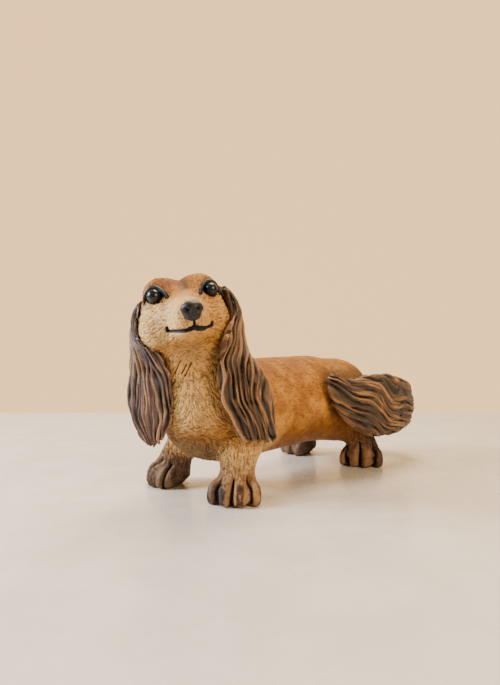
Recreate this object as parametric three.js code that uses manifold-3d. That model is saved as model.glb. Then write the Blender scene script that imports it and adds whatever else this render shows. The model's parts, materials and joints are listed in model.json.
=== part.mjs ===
// A free-standing stoneware figurine of a long-haired dachshund, built as a potter builds it:
// a hollow trunk and a hollow head luted together at the neck, with solid legs, ears, tail plume,
// nose, eyelids and eyes added on. Millimetres, +Z up. The dog looks along -Y and its left is +X.
import * as THREE from 'three';
import { LoftGeometry } from 'three/addons/geometries/LoftGeometry.js';
import { mergeVertices } from 'three/addons/utils/BufferGeometryUtils.js';
import Module from 'manifold-3d';

// ---------------------------------------------------------------- driving dimensions

const WALL = 5.5; // thickness of the hollow trunk and head
const GAP = 0.3; // slip joint between two pieces of clay
const BLEND = 9; // how softly the small lumps of clay run together
const SOFT = 14; // and the large ones
const VENT_RADIUS = 4.5; // firing vent in the belly
const VENT_Y = 12;

const CHEST_Y = -67; // middle of the chest, over the front legs
const RUMP_Y = 83; // middle of the rump, over the rear legs
const TRUNK_Z = 57; // the trunk's axis above the table
const SHOULDER_X = 24; // where a leg meets the trunk, from the middle plane
const HIP_Z = 44; // and its height

const HEAD_AT = [-0.5, -90, 121.5];
const HEAD_TURN = 54; // degrees to the dog's left
const HEAD_LIFT = 12; // degrees up
const HEAD_ROLL = -8; // degrees, left side up
const EYE_RADIUS = 4.4;
const EYE_AT = [18.2, -17.5, 12]; // in the head's own frame, on the left side
const LID_RADIUS = 1.2; // thickness of the coil that makes an eyelid

// ---------------------------------------------------------------- clay as a field
// A shape is a function that gives the rough distance from a point to its surface, negative inside.

const DEGREE = Math.PI / 180;
const vec = ([x, y, z]) => new THREE.Vector3(x, y, z);

function ball(centre, radii) {
  const c = vec(centre);
  const r = vec(radii);
  return (p) => {
    const q = p.clone().sub(c);
    const k0 = q.clone().divide(r).length();
    const k1 = q.divide(r).divide(r).length();
    return k1 > 1e-9 ? (k0 * (k0 - 1)) / k1 : -Math.min(r.x, r.y, r.z);
  };
}

function bone(from, to, startRadius, endRadius) {
  const a = vec(from);
  const along = vec(to).sub(a);
  return (p) => {
    const q = p.clone().sub(a);
    const t = THREE.MathUtils.clamp(q.dot(along) / along.lengthSq(), 0, 1);
    return q.addScaledVector(along, -t).length() - THREE.MathUtils.lerp(startRadius, endRadius, t);
  };
}

const pair = (shape) => (p) => shape(new THREE.Vector3(Math.abs(p.x), p.y, p.z));

function run(softness, ...shapes) {
  return (p) => shapes.map((shape) => shape(p)).reduce((a, b) => {
    const h = Math.max(softness - Math.abs(a - b), 0) / softness;
    return Math.min(a, b) - (h * h * softness) / 4;
  });
}

// ---------------------------------------------------------------- surfaces

// How far a ray from inside the clay goes before it comes out, at most reach.
function wayOut(field, start, direction, reach, skin) {
  const at = (r) => field(start.clone().addScaledVector(direction, r)) - skin;
  if (at(reach) < 0) return reach;
  let inside = 0;
  let outside = reach;
  for (let i = 0; i < 24; i++) {
    const middle = (inside + outside) / 2;
    if (at(middle) < 0) inside = middle;
    else outside = middle;
  }
  return inside;
}

// Skins a field with rings of points around a spine. skin grows or shrinks the surface.
function wrap(field, spinePoints, { rings, sides, reach, skin = 0, up = [0, 0, 1] }) {
  const spine = new THREE.CatmullRomCurve3(spinePoints.map(vec));
  const startTangent = spine.getTangentAt(0).negate();
  const endTangent = spine.getTangentAt(1);
  const start = spine.getPointAt(0).addScaledVector(
    startTangent, wayOut(field, spine.getPointAt(0), startTangent, reach, skin));
  const end = spine.getPointAt(1).addScaledVector(
    endTangent, wayOut(field, spine.getPointAt(1), endTangent, reach, skin));
  const whole = new THREE.CatmullRomCurve3([start, ...spine.points, end]);
  const sections = [];
  for (let i = 0; i < rings; i++) {
    const t = (1 - Math.cos((Math.PI * (i + 0.6)) / (rings + 0.2))) / 2;
    const centre = whole.getPointAt(t);
    const tangent = whole.getTangentAt(t);
    const sideways = tangent.clone().cross(vec(up)).normalize();
    const upwards = sideways.clone().cross(tangent);
    const ring = [];
    for (let j = 0; j < sides; j++) {
      const a = (2 * Math.PI * j) / sides;
      const direction = sideways.clone().multiplyScalar(Math.cos(a))
        .addScaledVector(upwards, Math.sin(a));
      ring.push(centre.clone().addScaledVector(direction, wayOut(field, centre, direction, reach, skin)));
    }
    sections.push(ring.reverse());
  }
  return new LoftGeometry(sections, { capStart: true, capEnd: true });
}

// A flat flap such as an ear: each station is [x, y, z, width, thickness, facing], where facing is
// the compass angle in degrees, from -Y towards +X, that the flap's outer side looks at.
function flap(stations, { rings, sides }) {
  const through = (pick) => new THREE.CatmullRomCurve3(stations.map(pick));
  const spine = through((s) => new THREE.Vector3(s[0], s[1], s[2]));
  const form = through((s) => new THREE.Vector3(s[3], s[4], s[5]));
  const sections = [];
  for (let i = 0; i <= rings; i++) {
    const t = i / rings;
    const centre = spine.getPoint(t);
    const { x: width, y: thickness, z: facing } = form.getPoint(t);
    const heading = THREE.MathUtils.degToRad(facing);
    const outwards = new THREE.Vector3(Math.sin(heading), -Math.cos(heading), 0);
    const tangent = spine.getTangent(t);
    const sideways = tangent.clone().cross(outwards).normalize();
    const outer = sideways.clone().cross(tangent).normalize();
    const ring = [];
    for (let j = 0; j < sides; j++) {
      const a = (2 * Math.PI * j) / sides;
      const across = Math.cos(a) * Math.pow(Math.abs(Math.cos(a)), -0.15) || 0;
      ring.push(centre.clone().addScaledVector(sideways, (across * width) / 2)
        .addScaledVector(outer, (Math.sin(a) * thickness) / 2));
    }
    sections.push(ring.reverse());
  }
  return new LoftGeometry(sections, { capStart: true, capEnd: true });
}

// A round coil of clay along a curve.
function coil(points, radius, steps) {
  const section = new THREE.Shape().absarc(0, 0, radius, 0, 2 * Math.PI);
  const path = new THREE.CatmullRomCurve3(points.map(vec));
  return new THREE.ExtrudeGeometry(section, { extrudePath: path, steps, curveSegments: 4 });
}

// ---------------------------------------------------------------- solids

const wasm = await Module();
wasm.setup();

function solid(geometry) {
  const bare = geometry.index ? geometry.toNonIndexed() : geometry.clone();
  bare.deleteAttribute('normal');
  bare.deleteAttribute('uv');
  const merged = mergeVertices(bare, 1e-3);
  return new wasm.Manifold(new wasm.Mesh({
    numProp: 3,
    vertProperties: merged.attributes.position.array,
    triVerts: new Uint32Array(merged.index.array),
  }));
}

const join = (...solids) => solids.reduce((a, b) => a.add(b));

function geometryOf(made) {
  const { vertProperties, triVerts } = made.getMesh();
  const geometry = new THREE.BufferGeometry();
  geometry.setAttribute('position', new THREE.BufferAttribute(new Float32Array(vertProperties), 3));
  geometry.setIndex(new THREE.BufferAttribute(new Uint32Array(triVerts), 1));
  geometry.computeVertexNormals();
  return geometry;
}

const SPACE = 400; // larger than the figurine

// Everything on the far side of a plane through point, in the direction that normal looks.
function beyond(point, normal) {
  const block = new THREE.BoxGeometry(SPACE, SPACE, SPACE).translate(0, 0, SPACE / 2);
  const turn = new THREE.Quaternion().setFromUnitVectors(new THREE.Vector3(0, 0, 1), normal);
  return solid(block.applyQuaternion(turn).translate(point.x, point.y, point.z));
}

const belowTable = beyond(new THREE.Vector3(0, 0, 0), new THREE.Vector3(0, 0, -1));

// ---------------------------------------------------------------- trunk and neck

const trunkField = run(SOFT,
  ball([-2, CHEST_Y, TRUNK_Z + 2], [29, 32, 33.5]), // chest
  bone([-1, CHEST_Y + 24, TRUNK_Z], [-1, RUMP_Y - 38, TRUNK_Z], 35.5, 35), // ribs and belly
  ball([-1, RUMP_Y, TRUNK_Z - 1], [31, 37, 32.5]), // rump
  pair(ball([19, RUMP_Y - 14, TRUNK_Z - 11], [17, 28, 25])), // haunches
  pair(ball([20, CHEST_Y + 6, TRUNK_Z - 4], [13, 20, 24])), // shoulders
);
const neckField = run(SOFT,
  trunkField,
  bone([-1, CHEST_Y - 3, TRUNK_Z + 10], [0, CHEST_Y - 18, HEAD_AT[2] - 14], 28, 24),
);

const trunkSpine = [[0, CHEST_Y - 2, TRUNK_Z], [0, 0, TRUNK_Z], [0, RUMP_Y, TRUNK_Z]];
const neckSpine = [[0, CHEST_Y - 4, TRUNK_Z], [0, CHEST_Y - 10, 80], [2, CHEST_Y - 18, HEAD_AT[2] - 8]];

const trunkWrap = (skin, rings = 22, sides = 24) => solid(wrap(trunkField, trunkSpine,
  { rings, sides, reach: 60, skin }));
const neckWrap = (skin, rings = 12, sides = 20) => solid(wrap(neckField, neckSpine,
  { rings, sides, reach: 42, skin, up: [0, 1, 0] }));

// ---------------------------------------------------------------- head, in its own frame

const headField = run(BLEND,
  ball([0, 4, 1], [28, 25, 24]), // cranium
  pair(ball([13, -8, 16.5], [11, 11, 10])), // brows
  pair(ball([16, -6, -7], [14.5, 16, 15])), // cheeks
  bone([0, -12, -4], [0, -37, -6], 16, 9.5), // muzzle
  bone([0, -8, -14], [0, -31, -13.5], 12, 7.5), // lower jaw
  ball([0, 6, -16], [19, 17, 13]), // throat
);
const headSpine = [[0, 18, 0], [0, -10, -1], [0, -40, -7]];
const headPlace = new THREE.Matrix4().compose(
  vec(HEAD_AT),
  new THREE.Quaternion().setFromEuler(new THREE.Euler(
    -HEAD_LIFT * DEGREE, HEAD_ROLL * DEGREE, HEAD_TURN * DEGREE, 'ZXY')),
  new THREE.Vector3(1, 1, 1),
);
const onHead = (geometry) => solid(geometry.applyMatrix4(headPlace));
const headWrap = (skin, rings = 22, sides = 24) => onHead(wrap(headField, headSpine,
  { rings, sides, reach: 48, skin }));

// An eye on the left (side 1) or the right (side -1).
const eye = (side, radius) => onHead(new THREE.SphereGeometry(radius, 14, 10)
  .translate(side * EYE_AT[0], EYE_AT[1], EYE_AT[2]));

// A coil of clay laid over the eye, drawn out to a point at both corners.
function eyelid(side) {
  const centre = vec(EYE_AT);
  const outwards = new THREE.Vector3(0.5, -0.82, 0.28).normalize();
  const across = new THREE.Vector3(0.85, 0.52, 0).normalize();
  const upwards = outwards.clone().cross(across).normalize();
  const start = -14;
  const steps = 10;
  const points = [];
  for (let i = 0; i <= steps; i++) {
    const a = (start + (i * (180 - 2 * start)) / steps) * DEGREE;
    const corner = Math.pow(Math.abs(Math.cos(a)), 4);
    const p = centre.clone()
      .addScaledVector(across, (EYE_RADIUS + 0.8 + 2.4 * corner) * Math.cos(a))
      .addScaledVector(upwards, (EYE_RADIUS + 0.8) * Math.sin(a))
      .addScaledVector(outwards, 2 - 2.6 * corner);
    points.push([side * p.x, p.y, p.z]);
  }
  return onHead(coil(side > 0 ? points : points.reverse(), LID_RADIUS, 14));
}

const noseField = run(4,
  ball([0, -45.5, -5], [6.4, 5.4, 4.6]), // nose leather
  ball([0, -43, -7.5], [4.5, 4.5, 3.8]), // and the narrow part under it
);
const noseSpine = [[0, -42, -6], [0, -47, -6]];
const nose = (skin) => onHead(wrap(noseField, noseSpine, { rings: 10, sides: 16, reach: 12, skin }));

// ---------------------------------------------------------------- ears and tail, by stations

const leftEar = [
  [8, -71, 139, 12, 6, 138], [18, -66.5, 133, 21, 8, 138], [24, -65.5, 121, 25, 8, 132],
  [29, -70.5, 109, 26, 8, 112], [35, -76, 97, 30, 8.5, 88], [39, -76, 83, 34, 8.5, 72],
  [42, -72, 69, 34, 8.5, 65], [44, -69, 56, 29, 8, 62], [46, -65, 47, 23, 6.5, 60],
  [47, -62, 42, 13, 4, 60],
];
const rightEar = [
  [-5, -93, 137, 12, 6, -42], [-17, -106, 131, 20, 8, -42], [-20.5, -111.5, 120, 25, 8, -36],
  [-18.5, -112.5, 108, 27, 8, -20], [-15, -111, 96, 31, 8.5, -4], [-12, -109, 83, 35, 8.5, 10],
  [-13, -108, 68, 36, 8.5, 18], [-14, -107, 55, 30, 8, 20], [-15, -105, 45, 19, 6, 20],
  [-16, -104, 38, 6, 4, 20],
];
const tailPlume = [
  [-2, 104, 66, 18, 14, 180], [0, 114, 65, 20, 14, 178], [7, 127, 61, 21, 14, 172],
  [20, 138, 54, 26, 15, 160], [35, 140, 48.5, 31, 17, 136], [44, 127, 48, 41, 20, 108],
  [46, 106, 49, 50, 22, 92], [45.5, 84, 51, 53, 22, 88], [44.5, 62, 54.5, 48, 20, 86],
  [42, 43, 60, 33, 16, 85], [40.5, 29, 71, 19, 11, 84], [40, 22, 80, 7, 5, 84],
];

// ---------------------------------------------------------------- legs

// A paw with four toes. heading is degrees from straight ahead towards the dog's left.
function paw([x, y], heading) {
  const turn = heading * DEGREE;
  const forwards = new THREE.Vector3(Math.sin(turn), -Math.cos(turn), 0);
  const sideways = new THREE.Vector3(Math.cos(turn), Math.sin(turn), 0);
  const spot = (along, across, height) => new THREE.Vector3(x, y, height)
    .addScaledVector(forwards, along).addScaledVector(sideways, across).toArray();
  const toes = [-1.5, -0.5, 0.5, 1.5].map((n) => {
    const outer = Math.abs(n) > 1;
    return solid(new THREE.SphereGeometry(1, 12, 9).scale(5, 8, outer ? 10 : 11.5)
      .rotateX(-0.5).rotateZ(turn + n * 0.2)
      .translate(...spot(outer ? 6 : 9, n * 7.6, outer ? 6 : 7)));
  });
  return { toes, pad: ball(spot(0, 0, 7), [13, 12, 9]), ankle: spot(-1, 0, 18), sole: spot(0, 0, 5) };
}

// A leg from the lump where it is pressed onto the trunk, at hip, down to its paw.
function leg({ hip, lump, foot, heading }, skin = 0) {
  const { toes, pad, ankle, sole } = paw(foot, heading);
  const field = run(BLEND, pad, bone(hip, ankle, 13, 10.5), ball(hip, lump));
  const limb = solid(wrap(field, [hip, ankle, sole], { rings: 12, sides: 18, reach: 34, skin, up: [0, 1, 0] }));
  return join(limb, ...toes).subtract(belowTable);
}

const frontLump = [13, 17, 19];
const rearLump = [14, 24, 24];
const legs = {
  leg_front_left: { hip: [SHOULDER_X, CHEST_Y + 6, HIP_Z], lump: frontLump, foot: [24, -65], heading: 32 },
  leg_front_right: { hip: [4 - SHOULDER_X, CHEST_Y + 6, HIP_Z], lump: [15, 17, 19], foot: [-42, -65], heading: -24 },
  leg_rear_left: { hip: [SHOULDER_X, RUMP_Y - 10, HIP_Z], lump: rearLump, foot: [30, 84], heading: 22 },
  leg_rear_right: { hip: [-SHOULDER_X, RUMP_Y - 10, HIP_Z], lump: rearLump, foot: [-37, 87], heading: -30 },
};

// ---------------------------------------------------------------- assembly

const figurine = new THREE.Group();
const clay = (color, roughness) => new THREE.MeshStandardMaterial({ color, roughness, metalness: 0 });
const tan = clay(0xb5793a, 0.6);
const brown = clay(0x5e4433, 0.6);
const black = clay(0x17181b, 0.35);

function add(name, made, material) {
  const mesh = new THREE.Mesh(geometryOf(made), material);
  mesh.name = name;
  figurine.add(mesh);
}

const seamPoint = new THREE.Vector3(2, CHEST_Y - 12, 92);
const seamNormal = new THREE.Vector3(0.05, -0.42, 0.9).normalize();
const aboveSeam = beyond(seamPoint, seamNormal);
const belowSeam = beyond(seamPoint.clone().addScaledVector(seamNormal, GAP), seamNormal.clone().negate());
const vent = solid(new THREE.CylinderGeometry(VENT_RADIUS, VENT_RADIUS, TRUNK_Z, 24)
  .rotateX(Math.PI / 2).translate(0, VENT_Y, TRUNK_Z / 2));

const hollow = join(trunkWrap(-WALL, 12, 14), neckWrap(-WALL, 8, 14), headWrap(-WALL, 12, 14));
const seats = join(eye(1, EYE_RADIUS + GAP), eye(-1, EYE_RADIUS + GAP), nose(GAP));
const bodyWithGap = join(trunkWrap(GAP), neckWrap(GAP), headWrap(GAP));

add('trunk', join(trunkWrap(0), neckWrap(0)).subtract(aboveSeam).subtract(hollow).subtract(vent), tan);
add('head', join(headWrap(0), neckWrap(0)).subtract(belowSeam).subtract(hollow).subtract(seats), tan);
for (const [name, form] of Object.entries(legs)) {
  add(name, leg(form).subtract(bodyWithGap), tan);
}
add('ear_left', solid(flap(leftEar, { rings: 20, sides: 16 })).subtract(bodyWithGap), brown);
add('ear_right', solid(flap(rightEar, { rings: 20, sides: 16 })).subtract(bodyWithGap), brown);
add('tail_plume', solid(flap(tailPlume, { rings: 24, sides: 18 }))
  .subtract(bodyWithGap).subtract(leg(legs.leg_rear_left, GAP)), brown);
add('nose', nose(0), black);
for (const [name, side] of [['left', 1], ['right', -1]]) {
  add('eye_' + name, eye(side, EYE_RADIUS), black);
  add('eyelid_' + name, eyelid(side).subtract(bodyWithGap).subtract(eye(side, EYE_RADIUS + GAP)), black);
}

// The origin is the middle of the figurine's footprint, on the table.
const footprint = new THREE.Box3().setFromObject(figurine).getCenter(new THREE.Vector3());
figurine.position.set(-footprint.x, -footprint.y, 0);

export default figurine;
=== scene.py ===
import json
import math
import bmesh
import bpy
import numpy as np
from mathutils import Matrix, Vector
from mathutils.kdtree import KDTree


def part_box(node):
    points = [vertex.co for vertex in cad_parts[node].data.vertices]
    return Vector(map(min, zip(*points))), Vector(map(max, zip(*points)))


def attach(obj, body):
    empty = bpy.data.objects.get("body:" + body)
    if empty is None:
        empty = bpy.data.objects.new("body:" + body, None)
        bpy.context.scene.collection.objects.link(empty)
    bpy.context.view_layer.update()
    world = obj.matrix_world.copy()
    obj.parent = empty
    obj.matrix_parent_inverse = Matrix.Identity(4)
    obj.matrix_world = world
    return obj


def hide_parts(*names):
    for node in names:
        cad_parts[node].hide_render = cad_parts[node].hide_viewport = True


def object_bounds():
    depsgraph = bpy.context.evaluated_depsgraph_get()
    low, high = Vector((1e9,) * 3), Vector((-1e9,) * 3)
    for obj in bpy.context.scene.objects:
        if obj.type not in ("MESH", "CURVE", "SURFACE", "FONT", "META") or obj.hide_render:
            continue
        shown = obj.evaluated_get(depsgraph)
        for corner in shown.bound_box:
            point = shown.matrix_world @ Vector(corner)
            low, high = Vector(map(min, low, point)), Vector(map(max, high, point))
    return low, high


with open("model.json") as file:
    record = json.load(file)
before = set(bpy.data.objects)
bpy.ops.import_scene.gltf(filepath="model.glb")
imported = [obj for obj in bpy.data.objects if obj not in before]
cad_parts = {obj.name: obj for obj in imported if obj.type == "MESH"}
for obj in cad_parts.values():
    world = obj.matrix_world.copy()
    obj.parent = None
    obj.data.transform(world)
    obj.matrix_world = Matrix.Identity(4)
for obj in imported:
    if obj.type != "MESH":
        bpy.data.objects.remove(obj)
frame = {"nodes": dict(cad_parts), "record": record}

cad_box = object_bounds()
MM = 0.001
EARS = ["ear_left", "ear_right"]
LEGS = ["leg_front_left", "leg_front_right", "leg_rear_left", "leg_rear_right"]

# ---------------------------------------------------------------- meshes


def points(mesh):
    """The vertices, in mm."""
    flat = np.empty(len(mesh.vertices) * 3, np.float32)
    mesh.vertices.foreach_get("co", flat)
    return flat.reshape(-1, 3).astype(np.float64) / MM


def set_points(mesh, p):
    mesh.vertices.foreach_set("co", (p * MM).astype(np.float32).ravel())
    mesh.update()


def normals(mesh):
    flat = np.empty(len(mesh.vertices) * 3, np.float32)
    mesh.vertex_normals.foreach_get("vector", flat)
    return flat.reshape(-1, 3).astype(np.float64)


def mark(mesh, name, values):
    """Keeps one number per vertex for the material to read."""
    layer = mesh.attributes.get(name) or mesh.attributes.new(name, "FLOAT", "POINT")
    layer.data.foreach_set("value", np.asarray(values, np.float32))


def marked(mesh, name):
    values = np.empty(len(mesh.vertices), np.float32)
    mesh.attributes[name].data.foreach_get("value", values)
    return values.astype(np.float64)


def with_modifier(mesh, kind, **settings):
    """A new mesh: this one after one modifier."""
    holder = bpy.data.objects.new("holder", mesh)
    bpy.context.scene.collection.objects.link(holder)
    modifier = holder.modifiers.new("m", kind)
    for key, value in settings.items():
        setattr(modifier, key, value)
    graph = bpy.context.evaluated_depsgraph_get()
    graph.update()
    made = bpy.data.meshes.new_from_object(holder.evaluated_get(graph))
    bpy.data.objects.remove(holder)
    return made


def remeshed(mesh, size):
    return with_modifier(mesh, "REMESH", mode="VOXEL", voxel_size=size * MM)


def subdivided(mesh, levels):
    return with_modifier(mesh, "SUBSURF", levels=levels, render_levels=levels)


def cut(mesh, tool, operation):
    other = bpy.data.objects.new("tool", tool)
    bpy.context.scene.collection.objects.link(other)
    made = with_modifier(mesh, "BOOLEAN", solver="MANIFOLD", operation=operation, object=other)
    bpy.data.objects.remove(other)
    return made


def joined(meshes):
    """Closed meshes in one, with the vertices of each welded."""
    bm = bmesh.new()
    for mesh in meshes:
        bm.from_mesh(mesh)
    bmesh.ops.remove_doubles(bm, verts=bm.verts, dist=1e-7)
    made = bpy.data.meshes.new("joined")
    bm.to_mesh(made)
    bm.free()
    return made


def cad(*names):
    return joined([frame["nodes"][name].data for name in names])


def cylinder(centre, radius, low, high):
    """An upright cylinder, in mm."""
    bm = bmesh.new()
    place = Matrix.Translation((centre[0] * MM, centre[1] * MM, (low + high) / 2 * MM))
    bmesh.ops.create_cone(bm, cap_ends=True, segments=32, radius1=radius * MM, radius2=radius * MM,
                          depth=(high - low) * MM, matrix=place)
    made = bpy.data.meshes.new("cylinder")
    bm.to_mesh(made)
    bm.free()
    return made


def half_space(point, normal):
    """A large block that fills everything beyond a plane."""
    size = 0.4
    bm = bmesh.new()
    turn = Vector(normal).to_track_quat("Z", "Y").to_matrix().to_4x4()
    place = Matrix.Translation(Vector(point) * MM) @ turn @ Matrix.Translation((0, 0, size / 2))
    bmesh.ops.create_cube(bm, size=size, matrix=place)
    made = bpy.data.meshes.new("block")
    bm.to_mesh(made)
    bm.free()
    return made


def ellipsoid(centre, radii, place=Matrix.Identity(4), detail=5):
    """centre and radii in mm, in the frame that place gives."""
    bm = bmesh.new()
    bmesh.ops.create_icosphere(bm, subdivisions=detail, radius=1)
    scale = Matrix.Diagonal((*[r * MM for r in radii], 1))
    bm.transform(place @ Matrix.Translation(Vector(centre) * MM) @ scale)
    made = bpy.data.meshes.new("ellipsoid")
    bm.to_mesh(made)
    bm.free()
    return made


def relaxed(mesh, p, rounds, amount=1.0):
    """Points moved towards the middle of their neighbours, rounds times."""
    ends = np.empty(len(mesh.edges) * 2, np.int32)
    mesh.edges.foreach_get("vertices", ends)
    a, b = ends.reshape(-1, 2).T
    n = len(p)
    count = (np.bincount(a, minlength=n) + np.bincount(b, minlength=n))[:, None]
    amount = np.broadcast_to(amount, n)[:, None] * 0.5
    for _ in range(rounds):
        total = np.stack([np.bincount(a, p[b, k], n) + np.bincount(b, p[a, k], n) for k in range(3)], 1)
        p = p + amount * (total / count - p)
    return p


def outer_shell(mesh):
    """The mesh without any closed surface inside it."""
    bm = bmesh.new()
    bm.from_mesh(mesh)
    bm.verts.ensure_lookup_table()
    first = max(bm.verts, key=lambda v: v.co.z)
    reached = {first}
    front = [first]
    while front:
        vertex = front.pop()
        for edge in vertex.link_edges:
            other = edge.other_vert(vertex)
            if other not in reached:
                reached.add(other)
                front.append(other)
    bmesh.ops.delete(bm, geom=[v for v in bm.verts if v not in reached], context="VERTS")
    made = bpy.data.meshes.new("shell")
    bm.to_mesh(made)
    bm.free()
    return made


def hollowness(mesh, rounds):
    """How far each point lies below its neighbourhood, in mm: positive in a recess."""
    p = points(mesh)
    return np.einsum("ij,ij->i", relaxed(mesh, p, rounds) - p, normals(mesh))


# ---------------------------------------------------------------- numbers


def ramp(x, start, end):
    """0 at start to 1 at end, smoothly."""
    t = np.clip((x - start) / (end - start), 0, 1)
    return t * t * (3 - 2 * t)


LATTICE_SIZE = 64
LATTICE = np.random.default_rng(7).random((LATTICE_SIZE,) * 3)  # it repeats in all three directions


def noise(p, size, seed=0):
    """Smooth random values, 0 to 1, that change over about size mm."""
    q = p / size + 17.3 * seed
    i = np.floor(q).astype(int)
    f = q - i
    fx, fy, fz = (f * f * (3 - 2 * f)).T
    x, y, z = (i % LATTICE_SIZE).T
    u, v, w = ((i + 1) % LATTICE_SIZE).T

    def mix(a, b, t):
        return a + (b - a) * t

    low = mix(mix(LATTICE[x, y, z], LATTICE[u, y, z], fx), mix(LATTICE[x, v, z], LATTICE[u, v, z], fx), fy)
    high = mix(mix(LATTICE[x, y, w], LATTICE[u, y, w], fx), mix(LATTICE[x, v, w], LATTICE[u, v, w], fx), fy)
    return mix(low, high, fz)


STROKE_SAMPLES = 13
STROKE_SPREAD = 0.12  # how far averaged noise strays from 0.5


def strokes(p, flow, size, reach, seed=0):
    """Tool marks along flow: noise averaged over reach mm of it. Values from -1 to 1."""
    steps = np.linspace(-reach / 2, reach / 2, STROKE_SAMPLES)
    total = sum(noise(p + flow * step, size, seed) for step in steps) / len(steps)
    return np.clip((total - 0.5) / STROKE_SPREAD, -1, 1)


def unit(v):
    return v / np.maximum(np.linalg.norm(v, axis=-1, keepdims=True), 1e-9)


def along_surface(flow, n):
    """The part of each direction that runs along the surface."""
    return unit(flow - n * np.einsum("ij,ij->i", flow, n)[:, None])


def to_line(p, line):
    """Distance from each point to a line of straight pieces."""
    best = np.full(len(p), 1e9)
    for start, end in zip(line[:-1], line[1:]):
        a = np.array(start, float)
        d = np.array(end, float) - a
        t = np.clip((p - a) @ d / (d @ d), 0, 1)[:, None]
        best = np.minimum(best, np.linalg.norm(p - a - t * d, axis=1))
    return best


def dent(distance, width):
    """1 at distance 0, falling off like a bell over about width."""
    return np.exp(-(distance / width) ** 2)


def from_place(p, place):
    """Distance from each point to one place."""
    return np.linalg.norm(p - np.array(place), axis=1)


def middle(node):
    """The middle of a CAD piece's box, in mm."""
    low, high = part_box(node)
    return np.array((low + high) / 2) / MM


# ---------------------------------------------------------------- the head's own frame

HEAD_TURN = 54  # degrees to the dog's left
HEAD_LIFT = 12  # degrees up
HEAD_ROLL = -8  # degrees
EYES_AT = (0, -17.5, 12)  # the point between the eyes
EYE_SPREAD = 18.2  # from the middle of the head to an eye
EYE_RADIUS = 4.38  # mm
EYE_SEAT = 4.45  # mm: radius of the socket that the bead sits in
head_axes = (Matrix.Rotation(math.radians(HEAD_TURN), 3, "Z")
             @ Matrix.Rotation(math.radians(-HEAD_LIFT), 3, "X")
             @ Matrix.Rotation(math.radians(HEAD_ROLL), 3, "Y"))
head_turn = np.array(head_axes)
head_at = (middle("eye_left") + middle("eye_right")) / 2 - head_turn @ np.array(EYES_AT)
head_place = Matrix.Translation(Vector(head_at) * MM) @ head_axes.to_4x4()


def eye_place(side):
    """The middle of an eye in the head's frame: side 1 is its left, -1 its right."""
    return side * EYE_SPREAD, *EYES_AT[1:]


def in_head(p):
    """Points in the head's frame: x to its left, -y out of the nose, z out of the crown, in mm."""
    return (p - head_at) @ head_turn


# ---------------------------------------------------------------- camera

CAMERA_TURN = 42  # degrees: the camera looks this far to the left of +Y
CAMERA_PITCH = 1.4  # degrees down
CAMERA_SENSOR = 36  # mm
CAMERA_LENS = 30.7971  # mm
CAMERA_AT = (0.2913, -0.3597, 0.1145)  # m, from the middle of the object's foot


def add_camera():
    data = bpy.data.cameras.new("camera")
    data.lens = CAMERA_LENS
    data.sensor_width = CAMERA_SENSOR
    camera = bpy.data.objects.new("camera", data)
    bpy.context.scene.collection.objects.link(camera)
    turn = math.radians(CAMERA_TURN)
    pitch = math.radians(CAMERA_PITCH)
    ahead = Vector((-math.sin(turn) * math.cos(pitch), math.cos(turn) * math.cos(pitch), -math.sin(pitch)))
    low, high = cad_box
    camera.location = Vector((*((low + high) / 2).xy, low.z)) + Vector(CAMERA_AT)
    camera.rotation_euler = ahead.to_track_quat("-Z", "Y").to_euler()
    bpy.context.scene.camera = camera


add_camera()

# ---------------------------------------------------------------- the clay body

BASE_VOXEL = 1.6  # mm
SMOOTHING = 40  # rounds that take out ripples and leave the size
GROWTH = 1.03  # each round's outward step, against its inward one
LEG_VOXEL = 2.0  # mm
LEG_MARGIN = 1.6  # a leg's cutting shape stands this far outside the leg
LEG_SPARE = 3  # a leg is carved this much wider, then cut back
ZONE_SPARE = 4  # and so are the head and the chest
NOSE_BED = ((0, -39.3, -6.5), (6.5, 6, 6))  # clay behind the nose, in the head's frame: middle and radii
VENT_RADIUS = 4.5  # mm
RECORD = frame["record"]
OPENINGS = {opening["name"]: np.array(opening["box_m"]) / MM for opening in RECORD["physics"]["openings"]}
VENT_AT = OPENINGS["belly_vent"].mean(0)
SOLES = {mount["name"]: np.array(mount["pos_m"]) / MM for mount in RECORD["mounts"]}
SEAM_AT = (4.3, -92.7, 92)  # the luted joint between neck and head
SEAM_NORMAL = (0.05, -0.42, 0.9)
CHEST_END = (0, -52, 60)  # where the finely carved chest meets the rest of the trunk


def body_base():
    """Trunk, head and legs as one solid skin, smoothed."""
    trunk = cad("trunk")
    p = points(trunk)
    near_vent = np.hypot(*(p - VENT_AT)[:, :2].T) < VENT_RADIUS + 2.5
    belly = p[near_vent, 2].min()
    plug = cylinder(VENT_AT, VENT_RADIUS + 1.5, belly + 0.8, belly + 5)
    nose_bed = ellipsoid(*NOSE_BED, head_place, 3)
    skin = joined([trunk, plug, cad("head"), nose_bed, *[cad(leg) for leg in LEGS]])
    skin = outer_shell(remeshed(skin, BASE_VOXEL))
    p = points(skin)
    above_toes = ramp(p[:, 2], 14, 30)
    p = relaxed(skin, p, 2)
    for _ in range(SMOOTHING):
        p = relaxed(skin, p, 1, above_toes)
        p = relaxed(skin, p, 1, -GROWTH * above_toes)
    set_points(skin, p)
    return skin


# ---------------------------------------------------------------- carving

# The mouth's left half, in the head's frame: from the middle, round the muzzle, to the raised corner.
MOUTH = [(0, -42, -15.6), (4.2, -39.6, -16.4), (8.4, -34.5, -15.4), (12.5, -27, -13.8), (14, -24.4, -12.2),
         (13.8, -24.6, -10.8)]
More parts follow.
